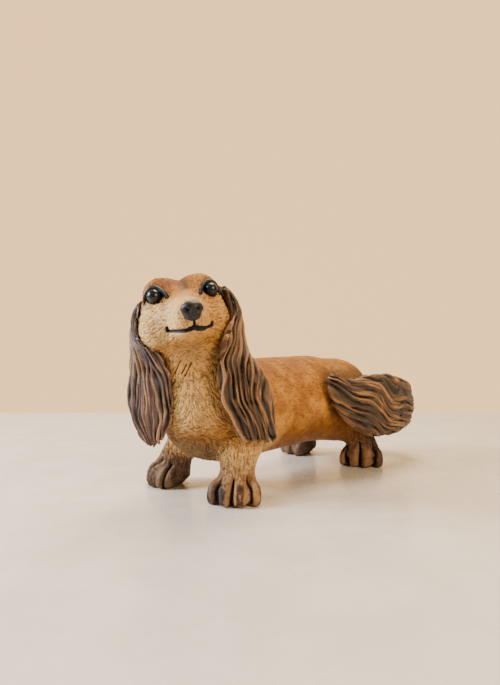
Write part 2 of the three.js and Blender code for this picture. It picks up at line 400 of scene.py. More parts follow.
# The middle line of the left upper lid, from its inner to its outer corner, and the furrow of the brow.
LID = [(10.4, -22.2, 9.2), (12, -20.4, 12.8), (14.4, -18.5, 15.9), (17.8, -16.8, 17.9), (21.3, -15.2, 16.6),
       (23.6, -13.4, 13.4), (24.5, -12.2, 9.4)]
FURROW = [(0.5, -4, 24), (1.5, -13, 21), (2, -18, 15.5)]
# The grooves between the toes of each paw, from the middle of its sole.
TOES = {
    "sole_front_left": [
        [(-3, -10.6, 15), (-2.4, -12.6, 11), (-1.4, -15.2, 5), (-2.4, -17.2, 0)],
        [(5.6, -9, 16.5), (6.9, -11.4, 9), (7.2, -12.4, 0)],
        [(10.5, 0, 18.5), (11.3, -2, 14), (16, -4.6, 8), (18, -5.6, 0)],
    ],
    "sole_front_right": [
        [(2, -9.7, 20), (-5.8, -9.8, 14.5), (-9, -13.4, 10), (-9.6, -14.5, 0)],
        [(8.5, -8, 16), (10, -13, 13), (10.3, -16.2, 8), (10, -17, 0)],
        [(-12, -3, 17), (-16, -5, 10), (-18, -5.6, 0)],
    ],
    "sole_rear_left": [
        [(-8, -10, 17), (-4.6, -15.5, 6), (-4, -14.5, 0)],
        [(4, -10.5, 19), (5.6, -13.4, 6), (5.6, -13.5, 0)],
        [(11, -1.5, 18), (15, -8, 8), (16, -8, 0)],
    ],
    "sole_rear_right": [
        [(5, -11, 17), (3, -15, 6), (3, -15, 0)],
        [(-6, -10, 19), (-8, -13.4, 6), (-8, -13.5, 0)],
        [(-12, -1.5, 18), (-16, -7, 8), (-17, -7, 0)],
    ],
}
# Three knife cuts down the throat, seen from the front of the head.
NECK_SLASHES = [
    [(-7.9, -30), (-11.8, -36)],
    [(-4.6, -33), (-8, -37.4)],
    [(-1.6, -32.5), (-6.2, -39.2)],
]
EAR_GAP = 0.6  # mm: the body is hollowed by this much where an ear lies on it
PAW_RADIUS = 16  # mm
PARTING_X = 16.5  # where the chest's hair parts
MUZZLE = (0, -38, -8)  # in the head's frame: the face's hair runs away from here
BACK_FLOW = (0, 1, -0.25)
LEG_FLOW = (0, 0, -1)
BROAD_MARK = 1.4  # mm: width of the wider marks under the comb marks
BROAD_LENGTH = 6  # mm
EAR_REACH = 7  # mm: how near an ear the body is hollowed and shaded
SCRATCH = 0.62  # mm: width of a comb mark
TRUNK_SCRATCH = 1.0  # mm: the same behind the chest
SCRATCH_LENGTH = 2.6  # mm
CARVED = 0.55  # mm: depth of a comb mark
TOE_BULGE = 1.4  # mm: how far a toe stands out between its grooves
TOE_GROOVE = 2.6  # mm: how deep the grooves are
FAR = 20  # mm: added to a distance where a line shall not be drawn


def unrolled(p):
    """Points round a paw laid out flat: mm round it, and mm up."""
    return np.stack([PAW_RADIUS * np.arctan2(p[:, 0], -p[:, 1]), p[:, 2]], 1)


def blend(a, b, share):
    """Directions a and b mixed: b's share is given at each point."""
    return a * (1 - share)[:, None] + b * share[:, None]


def face_flow(q, n):
    """Hair runs away from the muzzle over the face, and across under the chin."""
    back_from_muzzle = unit(q - np.array(MUZZLE)) @ head_turn.T
    sideways = unit(np.cross(n, back_from_muzzle))
    sideways = sideways * np.sign(sideways[:, 2:3] + 1e-9)
    chin = ramp(q[:, 2], -17, -22) * ramp(q[:, 1], -8, -20)
    return unit(blend(back_from_muzzle, sideways, 0.85 * chin))


def chest_flow(p):
    """Hair runs down the chest, away from its parting, and turns outwards at the bottom."""
    apart = np.clip((p[:, 0] - PARTING_X) / 6, -1, 1)
    low = ramp(p[:, 2], 62, 46)
    return unit(np.stack([apart * (0.7 + low), np.zeros(len(p)), -1 + 1.2 * low], 1))


def comb_flow(p, n):
    """The direction the clay was combed in, at each point."""
    q = in_head(p)
    flow = blend(np.array(BACK_FLOW), chest_flow(p), ramp(p[:, 1], -62, -84))
    flow = blend(flow, np.array(LEG_FLOW), ramp(p[:, 2], 48, 38))
    flow = blend(flow, face_flow(q, n), ramp(np.linalg.norm(q, axis=1), 46, 36))
    return along_surface(flow, n)


def comb_depth(p):
    """How deep the comb went, as a share of CARVED."""
    q = in_head(p)
    trunk = 0.22 + 0.6 * ramp(p[:, 1], -55, -80)
    to_leg = np.min([np.hypot(*(p[:, :2] - sole[:2]).T) for sole in SOLES.values()], 0)
    leg = 1.1 * ramp(p[:, 2], 48, 38) * ramp(to_leg, 26, 20)
    above_paw = 1 - 0.8 * ramp(p[:, 2], 19, 12)
    is_face = ramp(np.linalg.norm(q, axis=1), 46, 36)
    bridge = ramp(np.abs(q[:, 0]), 12, 5) * ramp(q[:, 2], -10, -4)
    crown = ramp(q[:, 2], 10, 20)
    off_muzzle = 0.25 + 0.75 * ramp(from_place(q, (0, -36, -9)), 13, 19)
    face = 0.72 * (1 - 0.6 * bridge) * (1 - 0.15 * crown) * off_muzzle
    return np.maximum(trunk, leg) * above_paw * (1 - is_face) + face * is_face


def closeness(p, cloud, reach):
    """1 on a cloud of points, falling to 0 at reach mm from it."""
    tree = KDTree(len(cloud))
    for i, c in enumerate(cloud):
        tree.insert(c, i)
    tree.balance()
    near = (p > cloud.min(0) - reach).all(1) & (p < cloud.max(0) + reach).all(1)
    result = np.zeros(len(p))
    for i in np.flatnonzero(near):
        result[i] = max(0.0, 1 - tree.find(p[i])[2] / reach)
    return result


def mirrored(q):
    """Both halves of the head laid over its left half."""
    return np.stack([np.abs(q[:, 0]), q[:, 1], q[:, 2]], 1)


def carved_face(q):
    """Mouth, lips, furrow and eye rims: the height they add in mm, and where black is painted."""
    half = mirrored(q)
    mouth = to_line(half, MOUTH)
    beyond_split = ramp(q[:, 1], -36, -34) + ramp(np.abs(q[:, 2] + 12), 3.6, 4.6)
    lip_split = np.abs(q[:, 0] - 0.3) + FAR * beyond_split
    height = -(1.7 * dent(mouth, 1.0) + 1.2 * dent(lip_split, 0.8))
    height += 0.45 * dent(mouth - 2.6, 1.2) * ramp(q[:, 1], -20, -30)
    mouth_width = 1.35 + 0.5 * dent(q[:, 0] - 2, 6)
    black = np.maximum(dent(mouth, mouth_width) * 1.3, dent(lip_split, 0.95))
    pad = np.linalg.norm((half - np.array((6.5, -37, -11))) / np.array((6, 6, 5)), axis=1)
    height += 0.9 * dent(pad, 0.9)
    height -= 0.7 * dent(to_line(q, FURROW), 2.2)
    eye = from_place(half, eye_place(1))
    height += 0.4 * dent(eye - 9, 1.6)
    under_lid = ramp(eye, 6.4, 5.6) * ramp(half[:, 2], 8.2, 9.4)
    socket = ramp(eye, 5.5, 5.0)
    lid = dent(to_line(half, LID), 1.7)
    return height, np.max([black, under_lid, socket, lid], 0)


def carved_toes(p, n):
    """How far the toes stand out in mm, and the grooves between them, 0 to 1."""
    bulge = np.zeros(len(p))
    between = np.zeros(len(p))
    for sole, grooves in TOES.items():
        r = unrolled(p - SOLES[sole])
        near = ramp(np.hypot(*(p - SOLES[sole])[:, :2].T), 36, 30) * ramp(p[:, 2], 30, 26)
        gap = np.min([to_line(r, unrolled(np.array(groove, float))) for groove in grooves], 0)
        between = np.maximum(between, near * dent(gap, 1.15))
        bulge += TOE_BULGE * near * ramp(gap, 0.5, 4.5) * ramp(p[:, 2], 22, 12) * ramp(n[:, 2], -0.7, -0.2)
    return bulge, between


def carve(mesh, scratch=SCRATCH):
    """Presses the tool marks into the skin, and keeps them for the stain."""
    p = points(mesh)
    n = normals(mesh)
    q = in_head(p)
    height, black = carved_face(q)
    toe_bulge, between_toes = carved_toes(p, n)
    height += toe_bulge
    height -= TOE_GROOVE * between_toes

    depth = comb_depth(p)
    flow = comb_flow(p, n)
    marks = strokes(p, flow, scratch, SCRATCH_LENGTH * scratch / SCRATCH, 1)
    broad = strokes(p, flow, BROAD_MARK, BROAD_LENGTH, 2)
    height += CARVED * depth * (marks * 0.75 + broad * 0.3)
    stain = np.clip(0.5 - 0.42 * marks - 0.12 * broad, 0, 1)
    slash = np.min([to_line(q[:, ::2], line) for line in NECK_SLASHES], 0) + FAR * ramp(q[:, 1], 0, 4)
    height -= 1.4 * dent(slash, 0.75)
    height += 0.25 * (noise(p, 7, 5) - 0.5)
    under_ear = np.max([closeness(p, points(frame["nodes"][ear].data), EAR_REACH) for ear in EARS], 0)
    height -= EAR_GAP * ramp(under_ear, 0.35, 0.8)
    set_points(mesh, p + n * height[:, None])

    mark(mesh, "under_ear", under_ear)
    mark(mesh, "hollow", hollowness(mesh, 6))
    mark(mesh, "groove", stain * np.clip(0.25 + depth, 0, 1))
    mark(mesh, "black", np.clip(black, 0, 1))
    mark(mesh, "cuts", np.clip(np.maximum(between_toes, 0.9 * dent(slash, 0.65)), 0, 1))
    mark(mesh, "furrow", dent(to_line(q, FURROW), 3.2))
    return mesh


# ---------------------------------------------------------------- materials


class Finish:
    """One procedural material, built from sockets. Lengths in mm."""

    def __init__(self, name):
        self.material = bpy.data.materials.new(name)
        self.material.use_nodes = True
        self.tree = self.material.node_tree
        self.shader = self.tree.nodes["Principled BSDF"]
        self.place = self.tree.nodes.new("ShaderNodeTexCoord").outputs["Object"]

    def add(self, kind, **settings):
        node = self.tree.nodes.new("ShaderNode" + kind)
        for key, value in settings.items():
            setattr(node, key, value)
        return node

    def plug(self, socket, value):
        if isinstance(value, bpy.types.NodeSocket):
            self.tree.links.new(value, socket)
        elif isinstance(value, tuple):
            socket.default_value = (*value, 1)
        else:
            socket.default_value = value

    def read(self, name):
        return self.add("Attribute", attribute_name=name).outputs["Fac"]

    def noise(self, size, detail=3, roughness=0.55, stretch=(1, 1, 1)):
        scaled = self.add("VectorMath", operation="MULTIPLY")
        self.tree.links.new(self.place, scaled.inputs[0])
        scaled.inputs[1].default_value = stretch
        node = self.add("TexNoise")
        self.tree.links.new(scaled.outputs[0], node.inputs["Vector"])
        node.inputs["Scale"].default_value = 1 / (size * MM)
        node.inputs["Detail"].default_value = detail
        node.inputs["Roughness"].default_value = roughness
        return node.outputs["Fac"]

    def between(self, value, start, end, low=0.0, high=1.0):
        node = self.add("MapRange", interpolation_type="SMOOTHSTEP")
        self.plug(node.inputs["Value"], value)
        for key, number in (("From Min", start), ("From Max", end), ("To Min", low), ("To Max", high)):
            node.inputs[key].default_value = number
        return node.outputs["Result"]

    def maths(self, operation, a, b):
        node = self.add("Math", operation=operation)
        self.plug(node.inputs[0], a)
        self.plug(node.inputs[1], b)
        return node.outputs[0]

    def mix(self, factor, a, b, kind="MIX"):
        node = self.add("Mix", data_type="RGBA", blend_type=kind, clamp_factor=True)
        self.plug(node.inputs[0], factor)
        self.plug(node.inputs[6], a)
        self.plug(node.inputs[7], b)
        return node.outputs[2]

    def layered(self, colour, layers):
        """Paints laid over a ground colour, each with its share."""
        for share, paint in layers:
            colour = self.mix(share, colour, paint)
        return colour

    def done(self, colour, roughness, height=None, relief=0.1):
        self.plug(self.shader.inputs["Base Color"], colour)
        self.plug(self.shader.inputs["Roughness"], roughness)
        if height is not None:
            bump = self.add("Bump")
            bump.inputs["Strength"].default_value = 1.0
            bump.inputs["Distance"].default_value = relief * MM
            self.plug(bump.inputs["Height"], height)
            self.tree.links.new(bump.outputs[0], self.shader.inputs["Normal"])
        return self.material


# The body's paints, in the order that clay_finish lays them, painted shade among them.
OCHRE = (0.34, 0.137, 0.027)
GOLD = (0.56, 0.265, 0.050)
RUST = (0.21, 0.058, 0.004)
CREAM = (0.76, 0.50, 0.205)
PAW = (0.38, 0.235, 0.135)
UMBER = (0.060, 0.018, 0.005)
# painted shade: the dark brown laid where shade falls on the body
PAINTED_SHADE = (0.020, 0.008, 0.004)
# a blue-black wash on one toe, and painted shade on the far and rear paws
BLUE_WASH_AND_SHADE = (0.022, 0.028, 0.040)
INK = (0.008, 0.009, 0.012)
DEEP_BROWN = (0.012, 0.009, 0.008)  # in the grooves of the hair


def clay_finish():
    """Ochre body: cream lights, rust back, brown stain left in the tool marks, black paint, and painted
    light and shade.
    """
    f = Finish("stained_and_shaded_clay")
    cloud = f.noise(22, 4)
    spots = f.noise(5, 5, 0.65)
    grit = f.noise(1.1, 4, 0.7)
    scratches = f.noise(1.3, 4, 0.65, (1.0, 0.28, 1.0))
    golden = f.maths("MAXIMUM", f.between(cloud, 0.38, 0.62), f.read("gold"))
    rusty = f.maths("MULTIPLY", f.read("rust"), f.between(f.noise(14, 4, 0.6), 0.3, 0.62, 0.35, 1.0))
    pale = f.maths("MULTIPLY", f.read("pale"), f.between(spots, 0.25, 0.6, 0.55, 1.0))
    worn_paw = f.mix(f.between(spots, 0.38, 0.66, 0.0, 0.4), PAW, UMBER)
    stained = f.between(grit, 0.35, 0.6, 0.3, 0.62)
    combed = f.maths("MULTIPLY", f.between(f.read("groove"), 0.3, 1.0), stained)
    washed_and_shaded = f.maths("MULTIPLY", f.read("wash_and_shade"), f.between(grit, 0.35, 0.6, 1.0, 0.6))
    colour = f.layered(OCHRE, [
        (golden, GOLD),
        (rusty, RUST),
        (f.between(spots, 0.50, 0.64, 0.0, 0.55), RUST),
        # cream: the clay's own colour, with painted light and shade in where it fades
        (pale, CREAM),
        (f.read("paw"), worn_paw),
        (f.between(grit, 0.53, 0.68, 0.0, 0.45), UMBER),
        (combed, UMBER),
        # darker in recesses: painted shade, and stain pooled there
        (f.between(f.read("hollow"), 0.05, 0.45, 0.0, 0.75), UMBER),
        # painted shade in the brow's furrow
        (f.maths("MULTIPLY", f.read("furrow"), 0.75), UMBER),
        # painted shade under the ears, chin, chest and plume, low on the flank, and on the far and rear
        # legs
        (f.between(f.read("shade"), 0.1, 1.0, 0.0, 0.9), PAINTED_SHADE),
        # blue-black wash on the outer toe, and painted shade on the far and rear paws
        (washed_and_shaded, BLUE_WASH_AND_SHADE),
        (f.between(f.read("cuts"), 0.4, 0.95), INK),
        (f.between(f.read("black"), 0.3, 0.6), INK),
        (f.between(scratches, 0.50, 0.64, 0.0, 0.5), UMBER),
    ])
    height = f.maths("ADD", f.maths("MULTIPLY", grit, 0.6), f.maths("MULTIPLY", scratches, 0.6))
    f.shader.inputs["Specular IOR Level"].default_value = 0.18
    return f.done(colour, f.between(spots, 0.3, 0.7, 0.48, 0.62), height, 0.42)


def fur_finish(name, tip, middle_tone, sheen_tone):
    """Dark stain in the grooves with patches of painted blue-grey sheen, and lighter clay dry-brushed along
    the tops of the locks.
    """
    f = Finish(name)
    grit = f.noise(1.0, 4, 0.7)
    cloud = f.noise(13, 4, 0.6)
    ridge = f.read("ridge")
    fine = f.read("fine")
    worn = f.maths("ADD", f.maths("MULTIPLY", ridge, 0.66), f.maths("MULTIPLY", fine, 0.45))
    worn = f.maths("ADD", worn, f.maths("MULTIPLY", f.maths("SUBTRACT", cloud, 0.35), 0.45))
    brushed = f.maths("MULTIPLY", f.between(worn, 0.80, 1.02), f.between(grit, 0.35, 0.6, 0.35, 1.0))
    # painted sheen: blue-grey patches in the grooves, standing in for the glaze's reflection
    painted_sheen = f.maths("MULTIPLY", f.between(f.noise(9, 3), 0.52, 0.66, 0.0, 0.7), f.between(ridge, 0.85, 0.45))
    colour = f.layered(DEEP_BROWN, [
        (f.between(worn, 0.50, 0.82), middle_tone),
        (brushed, tip),
        # painted blue-grey sheen
        (painted_sheen, sheen_tone),
        # darker in recesses: painted shade, and stain pooled there
        (f.between(f.read("hollow"), 0.08, 0.5, 0.0, 0.85), DEEP_BROWN),
    ])
    height = f.maths("ADD", f.maths("MULTIPLY", grit, 0.6), f.maths("MULTIPLY", fine, 0.6))
    f.shader.inputs["Specular IOR Level"].default_value = 0.35
    return f.done(colour, f.between(worn, 0.4, 0.9, 0.42, 0.6), height, 0.2)


def ink_finish(name, colour, low, high):
    """Black glaze, a little uneven: its roughness goes from low to high."""
    f = Finish(name)
    cloud = f.noise(2.5, 4)
    tone = f.mix(f.between(cloud, 0.4, 0.7), colour, tuple(2.2 * c for c in colour))
    f.shader.inputs["Specular IOR Level"].default_value = 0.35
    return f.done(tone, f.between(cloud, 0.3, 0.7, low, high), f.noise(0.8, 3), 0.03)


NOSE_BRIDGE = (2, -30, 5)  # in the head's frame
UNDER_CHIN = (3, -22, -28)  # in the head's frame: the middle of the painted shade under the chin
UNDER_CHIN_SHAPE = (1.4, 1, 0.7)  # how wide, long and high its shade is
BLUE_TOE = SOLES["sole_front_left"] + np.array((-3.4, -18.5, 7))


def tint(mesh, node):
    """Marks where each paint of clay_finish lies on the body, painted light and shade among them."""
    p = points(mesh)
    q = in_head(p)
    x, y, z = p.T
    head_x, head_y, head_z = q.T
    under_ear = marked(mesh, "under_ear")
    is_face = ramp(np.linalg.norm(q, axis=1), 48, 38)
    crown = np.maximum(ramp(head_z, 3, 12), ramp(head_y, -8, 4))
    bridge = dent(from_place(q, NOSE_BRIDGE), 13)
    far_side = ramp(x, -12, -28)

    # The cream on the cheeks, throat, chest and shins is the clay's own colour; where it fades towards the
    # dog's left on the face and chest, on the far leg and under the mouth, that is painted light and shade.
    cheeks = (1 - crown) * (0.95 - 0.7 * ramp(head_x, -4, 14)) * (1 - 0.55 * bridge)
    cheeks = cheeks * (1 - 0.95 * ramp(head_z, -15.5, -21))
    throat = 0.45 * ramp(y, -70, -90) * ramp(z, 60, 75) * ramp(head_z, -19, -26)
    chest = ramp(y, -88, -106) * ramp(z, 40, 60) * (1 - 0.45 * ramp(x, 8, 30))
    shin = ramp(z, 46, 32) * ramp(z, 14, 24) * ramp(y, -30, -50) * (0.8 - 0.45 * far_side)
    pale_body = np.max([chest, throat, shin], 0)
    mark(mesh, "pale", is_face * np.maximum(cheeks, throat) + (1 - is_face) * pale_body)
    mark(mesh, "gold", 0.75 * is_face)

    back = 0.85 * ramp(z, 70, 96) * ramp(y, -95, -70)
    belly = 0.7 * ramp(z, 52, 30) * ramp(y, -60, -30)
    # The brow is lighter towards the dog's left, less rust there: painted light.
    brow = crown * (0.95 - 0.6 * ramp(head_x, 2, 14)) * (1 - bridge)
    mark(mesh, "rust", (1 - is_face) * np.maximum(back, belly) + is_face * brow)
    mark(mesh, "paw", 0.8 * ramp(z, 40, 10))

    # Painted shade: on the rear paws, the far front leg, low on the flank, under the plume, under the chin,
    # where the ears lie on the body, and under the chest.
    rear_paw = 0.8 * ramp(y, 50, 70) * ramp(z, 40, 24)
    far_leg = 0.5 * far_side * ramp(z, 44, 24) * ramp(y, -40, -60)
    low_flank = 0.42 * ramp(z, 66, 42) * ramp(y, -60, -30)
    under_plume = 0.8 * ramp(y, -2, 26) * ramp(x, 8, 26) * ramp(z, 92, 74) * ramp(z, 30, 52)
    to_chin = np.linalg.norm((q - np.array(UNDER_CHIN)) / np.array(UNDER_CHIN_SHAPE), axis=1)
    shades = [rear_paw, far_leg, low_flank, under_plume, 0.62 * dent(to_chin, 14)]
    shades += [0.35 * under_ear, ramp(under_ear, 0.78, 1.0)]
    if node == "trunk":
        shades.append(0.7 * ramp(z, 60, 36) * ramp(y, -40, -60))
    mark(mesh, "shade", np.clip(np.max(shades, 0), 0, 1))

    # The outer toe's own blue-black wash; painted shade on the far front paw and the rear paws; and darker
    # at the very foot of each paw.
    blue_toe = 0.9 * ramp(from_place(p, BLUE_TOE), 13, 7)
    far_paw = 0.5 * far_side * ramp(z, 30, 14)
    foot_edge = 0.4 * ramp(z, 5, 1)
    mark(mesh, "wash_and_shade", np.max([blue_toe, far_paw, foot_edge, 0.5 * rear_paw], 0))


# ---------------------------------------------------------------- the body's pieces


def piece(mesh, name, slot, material, *nodes):
    """A finished visible piece that stands for CAD nodes."""
    made = bpy.data.objects.new(name, mesh)
    mesh.name = name
    bpy.context.scene.collection.objects.link(made)
    mesh.materials.clear()
    mesh.materials.append(material)
    mesh.polygons.foreach_set("use_smooth", np.ones(len(mesh.polygons), bool))
    mesh.set_sharp_from_angle(angle=math.radians(60))
    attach(made, "root")
    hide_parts(*nodes)
    return made


def grown(mesh, distance):
    """A copy of the mesh, pushed out by distance mm."""
    wider = mesh.copy()
    set_points(wider, points(wider) + normals(wider) * distance)
    return wider


def leg_zones():
    """What each leg is cut with: the CAD leg, softened and grown a little."""
    legs = {}
    for name in LEGS:
        leg = remeshed(cad(name), LEG_VOXEL)
        set_points(leg, relaxed(leg, points(leg), 4) + normals(leg) * LEG_MARGIN)
        legs[name] = leg
    return legs


def body_piece(base, zone, wider_zone):
    """The part of the base near a zone, finely divided and carved, then cut to the zone."""
    rough = cut(base, wider_zone, "INTERSECT")
    rough = with_modifier(rough, "TRIANGULATE", min_vertices=5, ngon_method="CLIP")
    return cut(carve(subdivided(rough, 2)), zone, "INTERSECT")


def without(mesh, tools):
    """The mesh with each tool cut out of it."""
    for tool in tools:
        mesh = cut(mesh, tool, "DIFFERENCE")
    return mesh


def add_body(clay):
    """Head, legs, chest and trunk, cut apart at their real joints. Returns the head's piece."""
    base = body_base()
    legs = leg_zones()
    seam = Vector(SEAM_NORMAL).normalized()
    head_zone = half_space(SEAM_AT, seam)
    chest_zone = half_space(CHEST_END, (0, -1, 0))

    head = body_piece(base, head_zone, half_space(Vector(SEAM_AT) - seam * ZONE_SPARE, seam))
    head = without(head, [ellipsoid(eye_place(side), (EYE_SEAT,) * 3, head_place, 4) for side in (1, -1)])
    tint(head, "head")
    head_skin = piece(head, "head_skin", "glazed_tan", clay, "head")

    for name, zone in legs.items():
        leg = body_piece(base, zone, grown(zone, LEG_SPARE))
        leg = without(leg, [head_zone])
        tint(leg, name)
        piece(leg, name.replace("leg", "limb"), "glazed_tan", clay, name)

    wider_chest = half_space(Vector(CHEST_END) + Vector((0, ZONE_SPARE, 0)), (0, -1, 0))
    chest = body_piece(base, chest_zone, wider_chest)
    chest = without(chest, [head_zone, legs["leg_front_left"], legs["leg_front_right"]])
    tint(chest, "trunk")
    piece(chest, "chest_skin", "glazed_tan", clay, "trunk")

    trunk = carve(subdivided(base, 1), TRUNK_SCRATCH)
    trunk = without(trunk, [chest_zone, head_zone, *legs.values(), cylinder(VENT_AT, VENT_RADIUS, 0, 45)])
    tint(trunk, "trunk")
    piece(trunk, "trunk_skin", "glazed_tan", clay, "trunk")
    return head_skin


head_skin = add_body(clay_finish())

# ---------------------------------------------------------------- ears and tail plume

FLAP_VOXEL = 0.9  # mm
STRAND_DEPTH = 0.8  # mm
EAR_LOCKS = 3.4  # mm: from the top of a lock of hair to the groove beside it
PLUME_LOCKS = 2.9  # mm: the same on the plume
LOCK_MIDDLE = 0.78  # the height of a lock that keeps the skin where it is


def hair(along, across, side, count, seed, slant=0.0):
    """Two layers of about count locks each, which wind and overlap.

    along is in mm, across goes from -1 to 1, and side tells the two faces apart. Returns the height of
    the locks, 0 to 1.2, and the fine strands in them, 0 to 1."""
    flat = np.stack([along / 26, across * 1.3 + 0.2 * side, side * 0.7], 1)
    wave = noise(flat, 1, seed) - 0.5
    slow_wave = noise(flat * np.array((0.5, 0.8, 1)), 1, seed + 1) - 0.5
    length = along / 100

    def layer(shift, lean, own):
        """One layer's height, and each point's number across it, which is whole in the grooves."""
        kink = noise(flat * np.array((2.2, 1.4, 1)), 1, seed + own + 7) - 0.5
        winding = 0.50 * wave + 0.85 * slow_wave + 0.30 * kink
        number = (across + lean * length + slant * length ** 2 + winding) * count / 2 + shift
        lock = np.floor(number)
        off_middle = 2 * (number - lock) - 1
        rounded = np.clip(1 - off_middle ** 2, 0, 1) ** 0.75
        lift = noise(np.stack([lock * 3.7, along / 24, side + own], 1), 1, seed + own)
        return rounded * (0.3 + 1.0 * lift), number

    under, under_number = layer(0, 0.0, 2)
    over, over_number = layer(0.37, 0.30, 3)
    over = over * 0.94
    number = np.where(under > over, under_number, over_number)
    strand = noise(np.stack([number * 3.6, along / 13, side * 3.1], 1), 1, seed + 5)
    thin = noise(np.stack([number * 7.1, along / 8, side * 3.1], 1), 1, seed + 6)
    fine = np.clip(0.5 + 0.9 * (strand - 0.5) + 0.8 * (thin - 0.5), 0, 1)
    return np.clip(np.maximum(under, over), 0, 1.2), fine


def flap_skin(node):
    """A CAD slab, softened and finely divided."""
    skin = remeshed(cad(node), FLAP_VOXEL)
    set_points(skin, relaxed(skin, points(skin), 8))
    return subdivided(skin, 1)


def on_ear(p):
    """Where each point lies on an ear: mm from its top, -1 to 1 across it, and which face."""
    heights = np.linspace(p[:, 2].min() + 1, p[:, 2].max() - 1, 30)
    rows = []
    axis = np.array((0.0, 1.0))  # towards the ear's rear edge
    for height in heights:
        slab = p[np.abs(p[:, 2] - height) < 3, :2]
        centre = slab.mean(0)
        _, vectors = np.linalg.eigh(np.cov((slab - centre).T))
        axis = vectors[:, 1] * (1 if vectors[:, 1] @ axis > 0 else -1)
        t = (slab - centre) @ axis
        rows.append((*(centre + axis * (t.min() + t.max()) / 2), *axis, (t.max() - t.min()) / 2))
    rows = np.array(rows)
    cx, cy, ax, ay, half = [np.interp(p[:, 2], heights, rows[:, k]) for k in range(5)]
    across = ((p[:, 0] - cx) * ax + (p[:, 1] - cy) * ay) / half
    side = np.sign((p[:, 0] - cx) * ay - (p[:, 1] - cy) * ax)
    return p[:, 2].max() - p[:, 2], across, side


PLUME_AXIS = (12, 76)  # the plume winds round this upright line
PLUME_ROOT = 130  # degrees round it
PLUME_RADIUS = 42  # mm


def on_plume(p):
    """Where each point lies on the plume: mm from its root, -1 to 1 across it, and which face."""
    x = p[:, 0] - PLUME_AXIS[0]
    y = p[:, 1] - PLUME_AXIS[1]
    angle = np.degrees(np.arctan2(y, x))
    turns = np.linspace(angle.min() + 1, angle.max() - 1, 40)
    rows = []
    for turn in turns:
        slab = p[np.abs(angle - turn) < 3.5]
        outwards = np.median(np.hypot(*(slab[:, :2] - PLUME_AXIS).T))
        rows.append((slab[:, 2].min(), slab[:, 2].max(), outwards))
    low, high, radius = [np.interp(angle, turns, column) for column in np.array(rows).T]
    across = (2 * p[:, 2] - low - high) / (high - low)
    along = (PLUME_ROOT - angle) * math.pi / 180 * PLUME_RADIUS
    return along, across, np.sign(np.hypot(x, y) - radius)


def comb(mesh, place, count, seed, deep, shape=None, slant=0.0):
    """Carves locks of hair, deep mm deep, into an ear or the plume. shape moves its points first."""
    p = points(mesh)
    along, across, side = place
    height, fine = hair(along, across, side, count, seed, slant)
    if shape is not None:
        p = p + shape(along, across, height)
        set_points(mesh, p)
    n = normals(mesh)
    rise = deep * (height - LOCK_MIDDLE) + STRAND_DEPTH * (fine - 0.5)
    set_points(mesh, p + n * rise[:, None])
    mark(mesh, "ridge", np.clip(height, 0, 1))
    mark(mesh, "fine", fine)
    mark(mesh, "hollow", hollowness(mesh, 8))


def ear_tip(along, across, height, rear_corner, trim):
    """How far each point moves, so that the locks end at different heights. The rear corner hangs lower
    by rear_corner mm, and trim mm are pressed out of the tip, which leaves a blunt end."""
    longest = along.max()
    corner = ramp(along, longest - 34, longest - 8) * ramp(across, -0.1, 0.8)
    reach = along + rear_corner * corner
    start = longest - 2 * trim
    beyond = np.maximum(reach - start, 0)
    blunt = np.minimum(reach, start) + trim * (1 - np.exp(-beyond / max(trim, 0.1))) if trim else reach
    drop = blunt - along + ramp(along, longest - 26, longest - 2) * 2.5 * (height - 0.6)
    return np.outer(drop, (0, 0, -1))


brown_hair = fur_finish("brown_fur", (0.37, 0.190, 0.084), (0.090, 0.048, 0.027), (0.030, 0.036, 0.046))
grey_hair = fur_finish("grey_fur", (0.34, 0.20, 0.115), (0.11, 0.062, 0.050), (0.055, 0.062, 0.095))
for node, name, finish, seed, corner, trim in (("ear_left", "left_ear_hair", brown_hair, 11, 6.5, 4.0),
                                               ("ear_right", "right_ear_hair", grey_hair, 23, 0, 0)):
    ear = flap_skin(node)
    comb(ear, on_ear(points(ear)), 8, seed, EAR_LOCKS, lambda *place: ear_tip(*place, corner, trim))
    piece(ear, name, "dark_fur", finish, node)
plume = flap_skin("tail_plume")
comb(plume, on_plume(points(plume)), 7, 31, PLUME_LOCKS, slant=-0.6)
piece(plume, "tail_hair", "dark_fur", brown_hair, "tail_plume")

# ---------------------------------------------------------------- eyes, eyelids and nose

COIL_PROUD = 0.7  # mm: how far a lid's middle line stands off the head's skin
COIL_POINT = 0.5  # mm: how far its pointed ends reach beyond its last rings
LID_WIDTHS = [0.5, 1.1, 1.4, 1.5, 1.4, 1.1, 0.45]  # its radius at each point of LID
NOSE_LUMPS = (((0, -45.3, -5.2), (6.9, 5.2, 4.6)), ((0, -43.6, -8.4), (5.2, 5.2, 4.1)))  # middles and radii
NOSTRIL = [(3.3, -50, -8.3), (3.7, -50.2, -7.3), (4.4, -49.4, -6.9)]  # the left one


def smooth_line(stations, steps=8):
    """Catmull-Rom through rows of numbers."""
    rows = np.array(stations, float)
    rows = np.vstack([2 * rows[0] - rows[1], rows, 2 * rows[-1] - rows[-2]])
    made = []
    for a, b, c, d in zip(rows[:-3], rows[1:-2], rows[2:-1], rows[3:]):
        for t in np.arange(steps) / steps:
            made.append(0.5 * (2 * b + (c - a) * t + (2 * a - 5 * b + 4 * c - d) * t ** 2
                               + (3 * b - a - 3 * c + d) * t ** 3))
    return np.array(made + [rows[-2]])


def pressed(at):
    """A point in the head's frame, brought to within COIL_PROUD mm of the head's skin."""
    start = head_place @ (Vector(at) * MM)
    _, skin, _, _ = head_skin.closest_point_on_mesh(start)
    away = (start - skin).length
    made = skin + (start - skin) * min(1.0, COIL_PROUD * MM / max(away, 1e-9))
    return np.array(head_place.inverted() @ made) / MM


